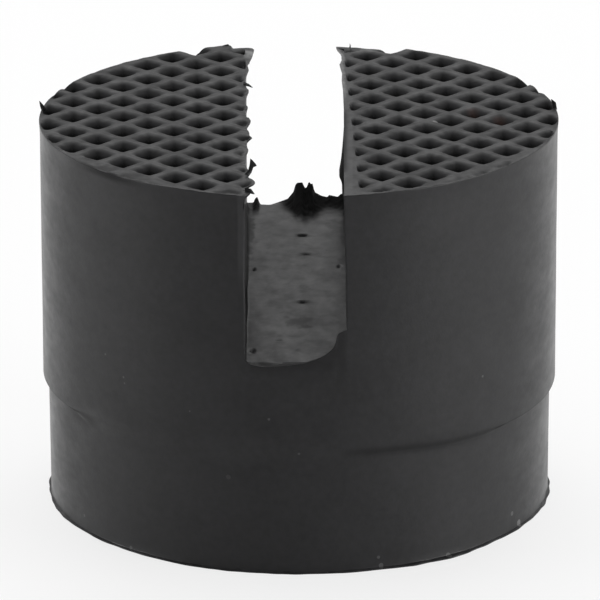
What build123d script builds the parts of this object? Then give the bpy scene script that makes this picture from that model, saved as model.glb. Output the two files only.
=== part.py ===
from build123d import *
import os
from math import ceil, hypot, sqrt

# Slotted rubber jack pad, moulded in one piece. A round drum stands on a slightly narrower
# spigot that drops into the saddle of a trolley jack. A slot across the top takes the sill
# seam of a vehicle, and the top face carries a tread of pyramid pits between crossed ribs.
# Frame: +Z up, origin at the centre of the base, slot along Y, front of the pad towards -Y.

# Driving sizes, in millimetres and degrees
pad_diameter = 65.0  # drum
pad_height = 49.2
spigot_height = 16.3
shoulder_step = 0.95  # the wall of the spigot stands in from the drum by this
shoulder_radius = 0.3  # moulded edge where the drum steps in to the spigot
base_flash_width = 0.2  # thin skin of rubber squeezed out round the base
base_flash_height = 0.7

slot_width = 12.4
slot_depth = 21.7
slot_shift = -0.2  # the slot lies a little to the left of the axis
mouth_radius = 0.8  # soft upright edge at the left of the front mouth

web_radius = 4.25  # hollow curve of the skin left in the right corner of the front mouth
web_height = 4.2
web_step = 1.15  # ledge between the top of that skin and the wall of the slot
web_thickness = 1.2

lip_height = 2.6  # rubber torn up at the back end of the slot floor
lip_ridge = 0.9  # lower ridge from that lip to the right wall of the slot
lip_centre = 0.45  # along X
lip_top_width = 2.2
lip_flank = 2.0  # spread of its left side, down to the slot floor
ridge_flank = 0.9  # spread of its right side, down to the ridge
lip_reach = 4.5  # how far it runs in over the slot floor
lip_thickness = 0.8  # at its top

rib_spacing = 4.46  # between the centre lines of neighbouring ribs
rib_width = 1.1
pit_depth = 1.7
pit_bottom = 0.4  # side of the small flat at the bottom of a pit
tread_turn = 1.85  # the tread was moulded slightly askew to the slot
tread_shift_x = 0.1  # from the axis to the nearest pit
tread_shift_y = -2.2
rim_land = 0.45  # rubber left between the tread and the wall of the drum
rim_overhang = 0.8  # a pit centred up to this far outside the wall still left its corner
front_pits_end = 0.4  # at the front, pits centred closer to the wall than this closed up
front_third = -14.0  # in front of this line along Y the pits end so
torn_rim = 28.5  # behind this line along Y the pits break out through the wall

# Sizes that follow
drum_radius = pad_diameter / 2
spigot_radius = drum_radius - shoulder_step
flash_radius = spigot_radius + base_flash_width
slot_floor = pad_height - slot_depth
slot_right = slot_shift + slot_width / 2
pit_side = rib_spacing - rib_width
half_band = sqrt(2) * rib_spacing  # the plain strip over the slot ends at pit centres
overrun = 1.0  # how far a cut runs past the face that it opens

# Drum and spigot, turned round the axis
with BuildPart() as rubber_pad:
    with BuildSketch(Plane.XZ) as section:
        with BuildLine():
            Polyline(
                (0, 0),
                (flash_radius, 0),
                (flash_radius, base_flash_height),
                (spigot_radius, base_flash_height),
                (spigot_radius, spigot_height),
                (drum_radius, spigot_height),
                (drum_radius, pad_height),
                (0, pad_height),
                close=True,
            )
        make_face()
        shoulder = section.vertices().sort_by_distance((drum_radius, 0, spigot_height))[0]
        fillet(shoulder, radius=shoulder_radius)
    revolve(axis=Axis.Z)

    # Slot, open at the top and at both ends
    with BuildSketch(Plane.XZ):
        with Locations((slot_shift, slot_floor)):
            Rectangle(slot_width, slot_depth + overrun, align=(Align.CENTER, Align.MIN))
    extrude(amount=pad_diameter, both=True, mode=Mode.SUBTRACT)

    # The upright edge at the left of the front mouth is soft
    slot_edges = rubber_pad.edges().filter_by(Axis.Z).filter_by_position(
        Axis.Z, slot_floor, pad_height
    )
    left_front_edge = slot_edges.sort_by(lambda edge: edge.center().X + edge.center().Y)[0]
    fillet(left_front_edge, radius=mouth_radius)

# Skin left in the corner of the front mouth, flush with the wall of the drum
with BuildPart() as corner_web:
    with BuildSketch(Plane.XZ):
        with Locations((slot_right, slot_floor)):
            Rectangle(web_step + web_radius, web_height, align=(Align.MAX, Align.MIN))
        with Locations((slot_right - web_step - web_radius, slot_floor + web_radius)):
            Circle(web_radius, mode=Mode.SUBTRACT)
    extrude(amount=pad_diameter)
    with BuildSketch(Plane.XY.offset(slot_floor)):
        Circle(drum_radius)
        Circle(drum_radius - web_thickness, mode=Mode.SUBTRACT)
    extrude(amount=web_height, mode=Mode.INTERSECT)

# Lip torn up at the back end of the slot floor, hollowed towards the floor
lip_left = lip_centre - lip_top_width / 2
lip_right = lip_centre + lip_top_width / 2
ridge_start = (lip_right + ridge_flank, slot_floor + lip_ridge)
with BuildPart() as torn_lip:
    with BuildSketch(Plane.XZ):
        with BuildLine():
            left_flank = TangentArc(
                (lip_left - lip_flank, slot_floor), (lip_left, slot_floor + lip_height), tangent=(1, 0)
            )
            right_flank = TangentArc(ridge_start, (lip_right, slot_floor + lip_height), tangent=(-1, 0))
            Line(left_flank @ 1, right_flank @ 1)
            Polyline(
                ridge_start, (slot_right, slot_floor + lip_ridge), (slot_right, slot_floor), left_flank @ 0
            )
        make_face()
    extrude(amount=-pad_diameter)
    with BuildSketch(Plane.XZ):
        with BuildLine():
            hollow = TangentArc(
                (drum_radius - lip_reach, slot_floor),
                (drum_radius - lip_thickness, slot_floor + lip_height),
                tangent=(1, 0),
            )
            Polyline(
                hollow @ 1, (drum_radius, slot_floor + lip_height), (drum_radius, slot_floor), hollow @ 0
            )
        make_face()
    revolve(axis=Axis.Z, mode=Mode.INTERSECT)

# One pit: a pyramid that narrows downwards, where two wedges cross
with BuildPart() as pit:
    for wedge_plane, wedge_mode in ((Plane.XZ, Mode.ADD), (Plane.YZ, Mode.INTERSECT)):
        with BuildSketch(wedge_plane):
            with BuildLine():
                Polyline(
                    (-pit_side / 2, 0),
                    (pit_side / 2, 0),
                    (pit_bottom / 2, -pit_depth),
                    (-pit_bottom / 2, -pit_depth),
                    close=True,
                )
            make_face()
        extrude(amount=pit_side, both=True, mode=wedge_mode)


def left_a_pit(place, on_tread):
    """Whether the mould pressed a pit at this place of the pad, given its place on the tread."""
    over_band = abs(on_tread.X) < half_band - rib_width
    to_wall = drum_radius - hypot(place.X, place.Y)
    return not over_band and to_wall > (front_pits_end if place.Y < front_third else -rim_overhang)


# Places of the pits: rows of a square grid that stands on its corner
pits_across = 2 * ceil(drum_radius / rib_spacing) + 1
tread_frame = Location((tread_shift_x, tread_shift_y, pad_height), (0, 0, tread_turn))
pit_grid = GridLocations(rib_spacing, rib_spacing, pits_across, pits_across).local_locations
on_tread = [Location((0, 0, 0), (0, 0, 45)) * cell for cell in pit_grid]
pit_places = [
    tread_frame * cell for cell in on_tread if left_a_pit((tread_frame * cell).position, cell.position)
]

# All the pits, kept off the rim and off the plain strip over the slot
with BuildPart() as tread_pits:
    with Locations(pit_places):
        add(pit.part)
    with BuildSketch(Plane.XY.offset(pad_height - pit_depth)):
        Circle(drum_radius - rim_land)
        with Locations((0, torn_rim)):
            Rectangle(pad_diameter, pad_diameter, align=(Align.CENTER, Align.MIN))
        with Locations(Location((tread_shift_x, tread_shift_y), (0, 0, tread_turn))):
            Rectangle(2 * half_band, 2 * pad_diameter, mode=Mode.SUBTRACT)
    extrude(amount=pit_depth, mode=Mode.INTERSECT)

with rubber_pad:
    add([corner_web.part, torn_lip.part])
    add(tread_pits.part, mode=Mode.SUBTRACT)

rubber_pad.part.label = "rubber_pad"
os.makedirs("parts", exist_ok=True)
export_step(rubber_pad.part, "parts/rubber_pad.step")
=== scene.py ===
from math import atan2, cos, hypot, pi, radians, sin, sqrt

import bmesh
import bpy
import numpy as np
from mathutils import Matrix, Vector, kdtree, noise
from mathutils.geometry import delaunay_2d_cdt


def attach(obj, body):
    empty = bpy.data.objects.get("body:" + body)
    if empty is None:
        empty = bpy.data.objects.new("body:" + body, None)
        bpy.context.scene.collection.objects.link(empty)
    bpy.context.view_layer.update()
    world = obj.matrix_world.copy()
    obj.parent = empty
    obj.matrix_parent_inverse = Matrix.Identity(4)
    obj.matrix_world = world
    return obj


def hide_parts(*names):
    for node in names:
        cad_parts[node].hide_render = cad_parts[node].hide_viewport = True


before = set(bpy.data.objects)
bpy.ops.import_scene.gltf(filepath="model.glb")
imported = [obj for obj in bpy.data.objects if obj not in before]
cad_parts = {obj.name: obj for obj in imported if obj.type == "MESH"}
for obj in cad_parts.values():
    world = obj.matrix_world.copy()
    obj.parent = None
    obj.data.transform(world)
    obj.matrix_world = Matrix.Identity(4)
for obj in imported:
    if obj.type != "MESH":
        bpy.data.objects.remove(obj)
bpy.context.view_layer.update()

# Slotted rubber jack pad, one moulding. Sizes are in millimetres, +Z up, origin at the centre of
# the base, slot along Y, front towards -Y. Heights in the slot count from its floor. A share runs
# from 0 to 1. A band is given by its two limits and how far it fades in and out inside them,
# a fade by the places where it is 0 and 1.

MM = 0.001
BODY = "root"
NODE = "rubber_pad"

# Drum, spigot and base
PAD_TOP = 49.2
DRUM_RADIUS = 32.5
RIM_FLARE = 0.1  # the wall stands out towards the tread
FLARE_HEIGHT = 2.2
RIM_EDGE = 0.08  # rounding of the edge between wall and tread
SHOULDER_HEIGHT = 15.85
SHOULDER_DIP = 0.6  # the shoulder hangs lower by this at the right
DIP_ACROSS = (8, 24)  # fade along X
DIP_ALONG = (12, 2)  # fade along Y
FRONT_FADE = 8  # what is at the front only fades in over this along Y
SHOULDER_ROUND = 0.2
SMOOTHED = (-29.5, 12, 4, 7)  # the front of the shoulder is smoothed over: band along X
HALF_SMOOTHED = (0, 27, 6, 4)  # and here by half
SMOOTH_DROP = 2  # it starts this far below the shoulder
SMOOTH_LENGTH = 4.5
SPIGOT_TOP_RADIUS = 31.8
SPIGOT_BASE_RADIUS = 31.72
FLASH_REACH = 0.3
FLASH_WIDER = 0.5  # the foot stands out further at the right of the front
WIDER_AT = 18.5
WIDER_REACH = 9
FLASH_HEIGHT = 0.22
SPIGOT_SHARES = (0.1, 0.3, 0.5, 0.7, 0.88, 0.96)
SHOULDER_TURNS = (0.3, 0.6, 0.9, 1.2, pi / 2)
RING_SHARES = (0.15, 0.4, 0.65, 0.85)  # rows between the shoulder and the foot of the halves

# Slot
SLOT_FLOOR = 27.5
LEFT_WALL = ((-32.4, -6.36), (0, -6.6), (24, -6.95), (32.4, -7.05))  # along Y and X
# Rounding at the foot of the left wall, along Y
LEFT_FOOT = ((-32.4, 0.1), (0, 0.35), (24, 0.8), (29, 0.7), (31, 0.1), (32.4, 0.05))
RIGHT_WALL = 6.01
RIGHT_WALL_TOP = 5.68  # that wall leans in
RIGHT_BULGE = (
    (0, 0.35), (0.054, 0.5), (0.11, 0.52), (0.143, 0.62), (0.168, 0.86), (0.24, 0.62),
    (0.32, 0.45), (0.4, 0.3), (0.48, 0.18), (0.8, 0.12), (1, 0),
)  # share of the height and reach into the slot
BULGE_FROM = 26  # that bulge is at the back end only
BULGE_LENGTH = 4.5
FLOOR_CALM = 2  # the floor is even towards its ends over this length
RAGGED_FROM = 0.96  # share of the height above which the edges are ragged
LEFT_EDGE = (
    (-32.4, -6.38), (-17.9, -6.42), (-9.4, -6.35), (-3.6, -6.5), (2.4, -6.72), (8.9, -6.75),
    (15.2, -6.95), (17.6, -6.88), (23.1, -6.68), (24.6, -6.39), (26.1, -6.16), (28.1, -6.03),
    (32.4, -5.95),
)  # along Y and X
EDGE_LUMPS = (
    (-30.6, 0.9, 0.7), (-26.3, 2.5, 1.25), (-22.6, 3.6, 0.5), (-13.3, 2, 0.22),
    (-8.3, 1.2, 0.5), (-6.6, 2.8, 0.32), (-1.2, 2.7, 0.58), (4.5, 1.5, 0.28), (11.7, 2, 0.42),
    (20.6, 2.2, 0.25),
)  # swellings: place along Y, half length, reach into the slot
RIGHT_EDGE = (
    (-32.4, 5.66), (2.8, 5.66), (11.3, 5.54), (15.6, 5.39), (18.7, 5.43), (20.9, 5.23),
    (22.7, 5.08), (24.5, 5.37), (26.5, 5.33), (28, 5.12), (29.6, 4.83), (32.4, 4.6),
)

# Front end of the slot floor with its skin: along X and above the floor
SKIN_EDGE = (
    (-6.36, 0.38), (-5.94, 0.02), (-5.08, -0.14), (-4.35, -0.23), (-3.13, -0.18), (-1.94, -0.06),
    (0.83, 0.3), (1.88, 0.6), (3.04, 1), (4.14, 1.84), (4.5, 2.36), (4.69, 2.99), (4.83, 3.86),
    (5.39, 4.21), (6.01, 4.43),
)
SKIN_THICKNESS = 0.35
SKIN_FOOT = 1.3

# Lip torn up at the back end of the slot floor: along X and above the floor
TORN_EDGE = (
    (-7.05, -0.05), (-6.15, -0.08), (-5.95, 0.45), (-5.66, 0.68), (-5.45, 0.1), (-5.25, -0.38),
    (-4.25, -0.6), (-2.98, -0.22), (-1.66, 0.26), (-0.92, 1.2), (-0.7, 2), (-0.5, 2.45),
    (0.25, 2.5), (0.4, 2.2), (0.5, 1.75), (0.8, 1.8), (0.95, 2.1), (1.05, 2.55), (1.2, 2.55),
    (1.25, 2.3), (1.6, 2.35), (1.87, 1.2), (2.77, 0.7), (3.55, 0.55), (3.75, 0.85), (4.9, 0.65),
    (5.3, 1.05), (6.01, 1.3),
)
TORN_REACH = (
    (-7, 5.5), (-5.6, 4.5), (-5.1, 1.5), (-2, 2.1), (-0.64, 5.5), (-0.05, 8.4), (0.92, 8.9),
    (1.7, 6.8), (2.67, 3.9), (3.83, 2.8), (4.8, 3.4), (5.68, 4.8),
)  # along X and from the back end towards the front
TORN_RIGHT = (-3.1, -1.9)  # to the left of this fade the end is bent down, not torn
TORN_DROP = 0.05  # the torn face lies below the skin of the floor
TORN_POWER = 1.3  # steepness of the lip where it is torn
BENT_POWER = 2.2
SLIVER_RIGHT = (-5.2, -5.5)  # fades to a torn sliver at the left, and beyond it
SLIVER_LEFT = (-6.1, -6.4)
SLIVER_CALM = 0.6
LIP_EDGE = 0.3
LIP_WIDTH = 10  # the back end is taken as straight beyond this

# Nicks in the slot floor, darkened by painted shade: X, Y, half width, half length, depth
NICKS = (
    (0.3, 18.1, 0.7, 0.3, 0.45), (0.8, 10.4, 0.8, 0.25, 0.4), (-5.8, 4.2, 0.2, 0.35, 0.3),
    (5.1, 5.4, 0.2, 0.3, 0.25), (0.55, -8.5, 0.9, 0.25, 0.35), (-2.4, -23, 0.4, 0.2, 0.15),
    (-5.6, -27, 0.25, 0.5, 0.25), (0.2, -26.7, 0.3, 0.2, 0.2),
)
NICK_LIMIT = 9  # squared distance, in half sizes, at which a nick ends

# Dull smudges on the slot floor: X, Y, half width, half length, share
SMUDGES = (
    (0.1, -16.3, 2.4, 2.4, 0.28), (0.9, -17.8, 1.6, 0.8, 0.36), (1, -13, 1.2, 1.5, 0.16),
    (1, -3.5, 1.3, 1.8, 0.18), (-3.9, 14, 0.5, 2.3, 0.22), (4.9, 22, 1.2, 3, 0.16),
    (-5.6, -25, 1, 5, 0.14), (3.2, 2.5, 1.6, 1.8, 0.1), (-2.2, 19.5, 1.2, 1.6, 0.1),
    (5.2, -8, 0.8, 9, 0.12), (-6.5, 19, 0.7, 12, 0.4),
)

# Paler places of the slot floor: X, Y, half width, half length, share
PALE_PLACES = (
    (-3.4, 24, 3, 7, 0.05), (3.8, 23.5, 2.2, 7, 0.04), (-1, -1, 3.6, 14, 0.04),
    (-2, -24, 4.5, 8, 0.035),
)

# Tread: pits on a square grid that stands on its corner
RIB_SPACING = 4.46
PIT_HALF = 1.21  # from the middle of a pit to its edge
PIT_SLOPE = 1.68  # of its sides
PIT_FLOOR = 1.9
PIT_FLOOR_ROUND = 0.15
PIT_EDGE = 0.68  # rounding between its sides and the ribs
PIT_CORNERS = 12  # power that rounds its corners
PIT_DRIFT = 0.06  # how far a pit lies off the grid
PIT_SPREAD = 0.07  # share by which pits differ in depth
TREAD_TURN = radians(1.85)
TREAD_CENTRE = Vector((0.1, -2.2))
HALF_BAND = sqrt(2) * RIB_SPACING  # half the plain strip over the slot
RIGHT_BAND = 6.7  # the strip is wider on its right
BAND_STEP = 0.14
RIGHT_STEP = 0.35
HALF_PIT = 0.8  # depth factor of the pits that the strip halves
TORN_RIM = 28.5  # behind this line pits break out through the wall
CLOSED_AT_FRONT = -14  # in front of this line pits near the wall closed up
CLOSED_GAP = 0.6
FAINT_MARK = 0.38
FAINT_DEPTH = 0.28
FAINT_ROUND = 0.1
HALF_CLOSED = Vector((10.4, -30.4))  # this pit closed up by half
HALF_CLOSED_DEPTH = 0.5
RIM_OVERHANG = 0.8
RIM_LAND = ((-30, 0.6), (-16, 0.42), (-8, 0.15), (5, 0.15), (13, -0.15))  # along Y
LAND_FADE = 0.4
EDGE_LAND = 0.15  # rubber left beside the left edge of the slot
EDGE_FADE = 0.7
LEFT_STRIP = -9  # to the right of this the tread follows the left edge of the slot
EDGE_SINK_REACH = 1.2  # that edge has sunk a little
EDGE_SINK = 0.12
RIB_DROP = 0.03  # the crests lie this far below the top
SAGGED_RIM = (
    (-24.5, -21.3, 3.4), (-20.3, -25.2, 3.4), (-16.3, -28, 2.6), (15.8, -28.2, 2.4),
    (-8.7, -31.2, 1.5),
)  # grooves along the rim at the front: X, Y and how far each spreads
SAG = 0.1
SAG_WIDTH = 2.4
# Where the rim is rolled over at the front: X, half length and radius
ROLLED_RIM = ((-22.5, 8, 1.3), (17, 9, 0.8))
ROLLED_SHARE = 0.12  # of a full quarter round
ROLLED_ALONG = (-6, -12)  # fade along Y

# Wear of the rim at the back, on both sides of the slot
WORN_ACROSS = (-9.2, 13.5, 0.5, 2)  # band along X
WORN_ALONG = (27.5, 31.5)  # fade along Y
WORN_DEPTH = 0.5

# Bevel at the left of the front mouth
BEVEL_DEPTH = 0.55
BEVEL_WIDTH = 0.95
BEVEL_GROWS = (0.3, 0.55)  # fade along the share of the height
CROWDED_STEP = 0.03  # between the points on the slot wall that the bevel pushes back

# Rounding of the upright edges at the ends of the slot
LEFT_FRONT_ROUND = (0.5, 0.15)  # at the foot and the top
LEFT_BACK_ROUND = (0.2, 0.9)
FRAYED_FROM = 0.9  # share of the height
RIGHT_ENDS = 0.15
ROUND_FROM = 0.07  # at the front it grows up to this share of the height
LEAST_ROUND = 0.01
CORNER_POINTS = 40  # most points that a rounding moves on each side

# Mesh
ARC_COLUMNS = 240
ARC_CROWDING = 0.8  # the columns lie closer together at the mouths
FLOOR_COLUMNS = 96
FINE_FRONT = 1.6  # length with rows at the fine step at the front of the slot
FINE_BACK = 10
FINE_STEP = 0.22
PLAIN_ROWS = 136
WALL_SHARES = (0, 0.06, 0.122, 0.159, 0.187, 0.267, 0.356, 0.445, 0.534, 0.66, 0.78, 0.9)
EDGE_DROPS = (2.2, 1.5, 1, 0.6, 0.35, 0.18, 0.08, 0.025, 0)
RIM_LOOPS = (0.12, 0.26, 0.42, 0.62, 0.85, 1.1)
POINT_GAP = 0.11
CELL_POINTS = 8  # along each side of a cell of the tread
BAND_LENGTH = 2.6  # half the length of the rows beside the plain strip
BAND_ROW_STEP = 0.25
BAND_ROWS = (-0.55, 0, 0.55)
BAND_CLEAR = 0.8
SHARP_ANGLE = radians(38)

# Kinds of unevenness: size, slice of the noise that it uses, and length
WALL_WAVE = (0.1, 50, 7)
FLOOR_WAVE = (0.06, 0, 6)
FLOOR_GRAIN = (0.02, 9, 1.4)
TORN_WAVE = (0.15, 33, 0.9)
TORN_ROUGH = (0.12, 2, 0.7)
TORN_BORDER = (0.8, 75, 0.9)
SAG_WAVE = (0.3, 60, 1.5)
RIB_WAVE = (0.06, 3, 1.1)
EDGE_WAVE = (0.22, 21, 1.3)
SHOULDER_WAVE = (0.05, 45, 5)
FLASH_REACH_WAVE = (0.6, 5, 2.2)
FLASH_HEIGHT_WAVE = (0.35, 25, 2.2)
SURFACE_WAVE = (0.035, 70, 9)
RIB_BLOTCHES = (0.2, 95, 2.5)
RIB_SPECKLE = (0.16, 97, 0.8)
FLOOR_BLOTCHES = (0.14, 95, 2.2)
FLOOR_SPECKLE = (0.1, 97, 0.7)
SMUDGE_WAVE = (1.1, 80, 1.1)
SMUDGE_GRAIN = (0.6, 85, 0.4)
PALE_WAVE = (0.5, 92, 1.3)
FRAY_WAVE = (0.15, 90, 0.8)

# Dull and dark places; many are painted shade: along the shoulder, on the torn flap of the
# right wall, in the pits, under the front rim and on the torn lip. Across the shoulder, bands
# count from its height.
FRONT_SHADE = 0.5
FRONT_SHADE_ALONG = (3, 28, 6, 5)
FRONT_SHADE_ACROSS = (-1.3, 0.9, 1.3, 0.9)
LEFT_SHADE = 0.35
LEFT_SHADE_AT = -27
LEFT_SHADE_REACH = 3
LEFT_SHADE_ACROSS = (-2, 0.6, 1.2, 0.6)
SIDE_SHADE = (19, 22)  # fade along X to both sides
SIDE_SHADE_ACROSS = (-0.1, 0.3, 0.1, 0.3)
# painted shade on the torn flap at the back of the right wall
BULGE_SHADE = (42, 39)  # fade along Z
# painted shade in the pits
PIT_SHADE = 0.97  # the pits are duller towards the bottom
PIT_SHADE_DEPTHS = (0.3, 1.15)  # fade along the depth
# painted shade on the wall just under the front rim, at its left
RIM_SHADE = 0.6
RIM_SHADE_AT = -23
RIM_SHADE_REACH = 5.5
BURR_DULL = 0.8
RIB_DULL = 0.1
EDGE_DULL = 0.5  # of the right edge of the slot
EDGE_DULL_ALONG = (-24, 4, 4, 4)
STREAK_DULL = 0.8  # a dark streak falls towards the back across the left wall of the slot
STREAK_SLOPE = 0.343
STREAK_RISE = 9  # at the front, above the floor
STREAK_HALF = 3
MOUTH_DULL = 0.4  # the wall below the front end of the slot floor, and that end itself
MOUTH_DULL_DEPTH = 1.5
MOUTH_DULL_LENGTH = 0.8
FLOOR_DULL = 0.03
TORN_DULL = (3.2, -2.4)  # fade along the distance in front of the tear
# painted shade on the torn lip, towards its top
TORN_LIP_SHADE = (0.75, 1)  # fade along the share of the tear
TORN_LIP_SHADE_ACROSS = (-4.8, -2.8)  # fade along X
SLOT_SIDE = 6.3  # half the width of the slot in these tests
LEFT_WALL_PLACES = (-7.4, -6.1)

# Pale places, and painted light on the left wall of the slot and on the flash at the base
# painted light on the left wall beside its streak
WALL_PAINTED_LIGHT = 0.17  # the left wall beside its dark streak
# painted light on the flash at the base, below this height
FLASH_PAINTED_LIGHT = 0.1
FLASH_PAINTED_LIGHT_TOP = 0.35
LEFT_FRAYED = (25, 29.8, 1.5, 0.8)  # frayed edges of the slot at the back: band along Y
RIGHT_FRAYED = 0.75
RIGHT_FRAYED_ALONG = (6, 12)  # fade along Y
RIGHT_FRAYED_ACROSS = (0.5, 0.25)  # fade along the distance from the edge


def lerp(a, b, share):
    return a + (b - a) * share


def smooth(share):
    """Rises from 0 to 1 with soft ends."""
    share = min(max(share, 0.0), 1.0)
    return share * share * (3 - 2 * share)


def ramp(value, softness):
    """The value above 0, 0 below it, with a rounded bend between."""
    if value <= -softness:
        return 0.0
    if value >= softness:
        return value
    return (value + softness) ** 2 / (4 * softness)


def bump(share):
    """Rises from 0 at -1 to 1 at 0 and falls to 0 at 1."""
    return max(0.0, 1 - share * share) ** 2


def fade(value, start, end):
    """Rises from 0 at the start to 1 at the end with soft ends."""
    return smooth((value - start) / (end - start))


def band(value, low, high, low_fade, high_fade):
    """1 between two limits, fading to 0 at each over a length inside it."""
    return smooth((value - low) / low_fade) * smooth((high - value) / high_fade)


def wobble(x, y, z, size):
    """Smooth unevenness between -1 and 1 with lumps of that size."""
    return noise.noise(Vector((x, y, z)) / size)


def wave(x, y, kind):
    size, z, length = kind
    return size * wobble(x, y, z, length)


def follow(line, place):
    """Height of a line of straight pieces at a place along it."""
    return float(np.interp(place, [p[0] for p in line], [p[1] for p in line]))


def spread(line, count):
    """Points at even distances along a line of straight pieces."""
    steps = [hypot(b[0] - a[0], b[1] - a[1]) for a, b in zip(line, line[1:])]
    travelled = np.concatenate(([0], np.cumsum(steps)))
    stops = np.linspace(0, travelled[-1], count)
    columns = [np.interp(stops, travelled, [p[axis] for p in line]) for axis in (0, 1)]
    return list(zip(*columns))


# Slot


def left_edge(y):
    """X of the upper edge of the left wall."""
    lumps = [reach * bump((y - place) / half) for place, half, reach in EDGE_LUMPS]
    return follow(LEFT_EDGE, y) + sum(lumps)


def slot_wall(side, y, rise):
    """X of the left (-1) or right (1) wall of the slot."""
    size, z, length = WALL_WAVE
    waved = size * wobble(y, 20 * rise, z * side, length)
    if side < 0:
        wall = follow(LEFT_WALL, y) + waved
        edge = left_edge(y)
    else:
        bulge = follow(RIGHT_BULGE, rise) * smooth((y - BULGE_FROM) / BULGE_LENGTH)
        wall = lerp(RIGHT_WALL, RIGHT_WALL_TOP, rise) + waved - bulge
        edge = follow(RIGHT_EDGE, y)
    return lerp(wall, edge, fade(rise, RAGGED_FROM, 1))


def floor_shares():
    """Rows along the slot, closer together at both ends."""
    length = 2 * DRUM_RADIUS
    front = np.arange(0, FINE_FRONT, FINE_STEP)
    back = length - np.arange(0, FINE_BACK, FINE_STEP)[::-1]
    plain = np.linspace(FINE_FRONT, length - FINE_BACK, PLAIN_ROWS)
    return np.concatenate((front, plain, back)) / length


ROWS = floor_shares()


def slot_line(side, rise, radius, inset=0.0):
    """A wall of the slot seen from above, from front to back."""

    def inner(y):
        return slot_wall(side, y, rise) + side * inset

    ends = []
    for end in (-1, 1):
        x = inner(end * DRUM_RADIUS)
        ends.append((x, end * sqrt(radius**2 - x**2)))
    places = [lerp(ends[0][1], ends[1][1], share) for share in ROWS[1:-1]]
    return [ends[0], *[(inner(y), y) for y in places], ends[1]]


def softened(line):
    """A line with its corners cut off."""
    cut = [line[0]]
    for a, b in zip(line, line[1:]):
        cut += [(lerp(a[0], b[0], share), lerp(a[1], b[1], share)) for share in (0.25, 0.75)]
    return [*cut, line[-1]]


FRONT_LINE = softened(SKIN_EDGE)


def to_back_end(x, y):
    """Distance along Y to the back end of the slot floor."""
    return sqrt(DRUM_RADIUS**2 - min(abs(x), LIP_WIDTH) ** 2) - y


def torn_share(x, y):
    """Below 0 where the floor is whole, rising to 1 at the back edge."""
    reach = follow(TORN_REACH, x) * (1 + wave(x, 0, TORN_WAVE))
    return min(1 - (to_back_end(x, y) - LIP_EDGE) / reach, 1.0)


def torn_amount(x):
    """1 where the back end is torn, 0 where it is only bent down."""
    sliver = fade(x, *SLIVER_RIGHT) * (1 - SLIVER_CALM * fade(x, *SLIVER_LEFT))
    return max(fade(x, *TORN_RIGHT), sliver)


def lip_height(x, y):
    share, edge = torn_share(x, y), follow(TORN_EDGE, x)
    if share <= 0:
        return 0.0
    bent = edge * share**BENT_POWER
    rough = wave(x, y, TORN_ROUGH) * band(share, 0, 1, 0.2, 0.1)
    torn = (edge + TORN_DROP) * share**TORN_POWER - TORN_DROP * smooth(share / 0.07) + rough
    return lerp(bent, torn, torn_amount(x))


def from_spot(x, y, spot):
    """Squared distance from a spot, in its half sizes."""
    at_x, at_y, half_width, half_length = spot
    return ((x - at_x) / half_width) ** 2 + ((y - at_y) / half_length) ** 2


def floor_height(x, y, front_gap, back_gap, left_gap):
    """Height of the slot floor, its skin and its lip."""
    height = wave(x, y, FLOOR_WAVE) + wave(x, y, FLOOR_GRAIN)
    height *= smooth(min(front_gap, back_gap) / FLOOR_CALM)
    skin = fade(front_gap, SKIN_FOOT, SKIN_THICKNESS)
    height += follow(FRONT_LINE, x) * skin + lip_height(x, y)
    foot = follow(LEFT_FOOT, y)
    if left_gap < foot:
        height += foot - sqrt(foot**2 - (foot - left_gap) ** 2)
    for *spot, depth in NICKS:
        away = from_spot(x, y, spot)
        if away < NICK_LIMIT:
            height -= depth * np.exp(-away)
    return SLOT_FLOOR + height


def shares_across(line):
    """Points of a line across the slot, as shares of its width."""
    start, end = line[0][0], line[-1][0]
    return [(x - start) / (end - start) for x, _ in line]


def floor_points():
    """Rows of points across the slot floor, front to back."""
    left, right = slot_line(-1, 0, DRUM_RADIUS), slot_line(1, 0, DRUM_RADIUS)
    columns = [shares_across(spread(line, FLOOR_COLUMNS)) for line in (FRONT_LINE, TORN_EDGE)]
    rows = []
    for share, (left_x, _), (right_x, _) in zip(ROWS, left, right):
        row = []
        for at_front_end, at_back_end in zip(*columns):
            across = lerp(at_front_end, at_back_end, smooth((share - 0.1) / 0.8))
            front_x = lerp(left[0][0], right[0][0], at_front_end)
            back_x = lerp(left[-1][0], right[-1][0], at_back_end)
            y_front, y_back = -sqrt(DRUM_RADIUS**2 - front_x**2), sqrt(DRUM_RADIUS**2 - back_x**2)
            x, y = lerp(left_x, right_x, across), lerp(y_front, y_back, share)
            row.append((x, y, floor_height(x, y, y - y_front, y_back - y, x - left_x)))
        rows.append(row)
    return rows


# Tread


def on_tread(x, y):
    """A place of the pad in the frame of the tread."""
    place = Vector((x, y)) - TREAD_CENTRE
    place.rotate(Matrix.Rotation(-TREAD_TURN, 2))
    return place


def on_pad(place):
    """A place of the tread in the frame of the pad."""
    place = place.copy()
    place.rotate(Matrix.Rotation(TREAD_TURN, 2))
    return place + TREAD_CENTRE


def grid_place(i, j):
    """Middle of a cell in the frame of the tread."""
    return Vector((i - j, i + j)) * RIB_SPACING / sqrt(2)


def cell_wobble(i, j, z):
    return wobble(7 * i, 7 * j, z, 3)


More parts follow.
